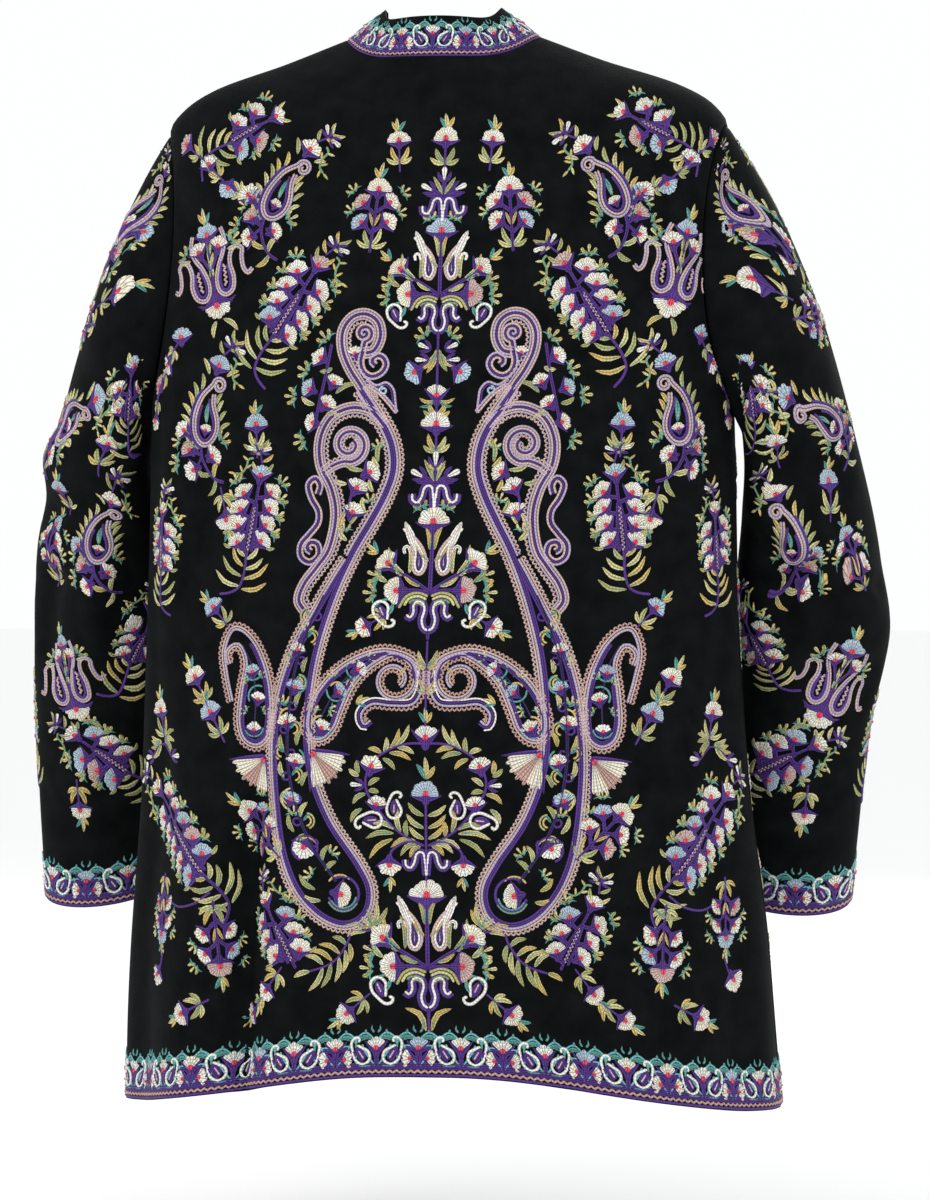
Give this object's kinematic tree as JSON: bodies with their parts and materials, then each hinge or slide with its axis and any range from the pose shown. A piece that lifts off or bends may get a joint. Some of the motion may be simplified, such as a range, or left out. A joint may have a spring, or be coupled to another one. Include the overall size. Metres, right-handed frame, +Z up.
{
  "type": "embroidered wool jacket",
  "caption": "Hip-length black wool jacket with stand collar and long sleeves, hollow as if worn, covered in chain-stitched paisleys, leaves and flowers in cream, violet, pink and olive",
  "frame": {"origin": "midway between the two points where the shoulder seams meet the collar, where the wearer's neck and shoulders carry the jacket", "axes": "+Z up, the wearer faces -Y so the back is at +Y, +X is the wearer's left"},
  "size_m": [0.6789, 0.2985, 0.8377],
  "materials": {
    "back": "matte black wool, embroidered",
    "front_left": "matte black wool, embroidered",
    "front_right": "matte black wool, embroidered",
    "sleeve_left": "matte black wool, embroidered",
    "sleeve_right": "matte black wool, embroidered",
    "collar": "matte black wool, embroidered"
  },
  "bodies": {
    "root": {"back": "back", "front_left": "front_left", "front_right": "front_right", "sleeve_left": "sleeve_left", "sleeve_right": "sleeve_right", "collar": "collar"}
  },
  "joints": []
}
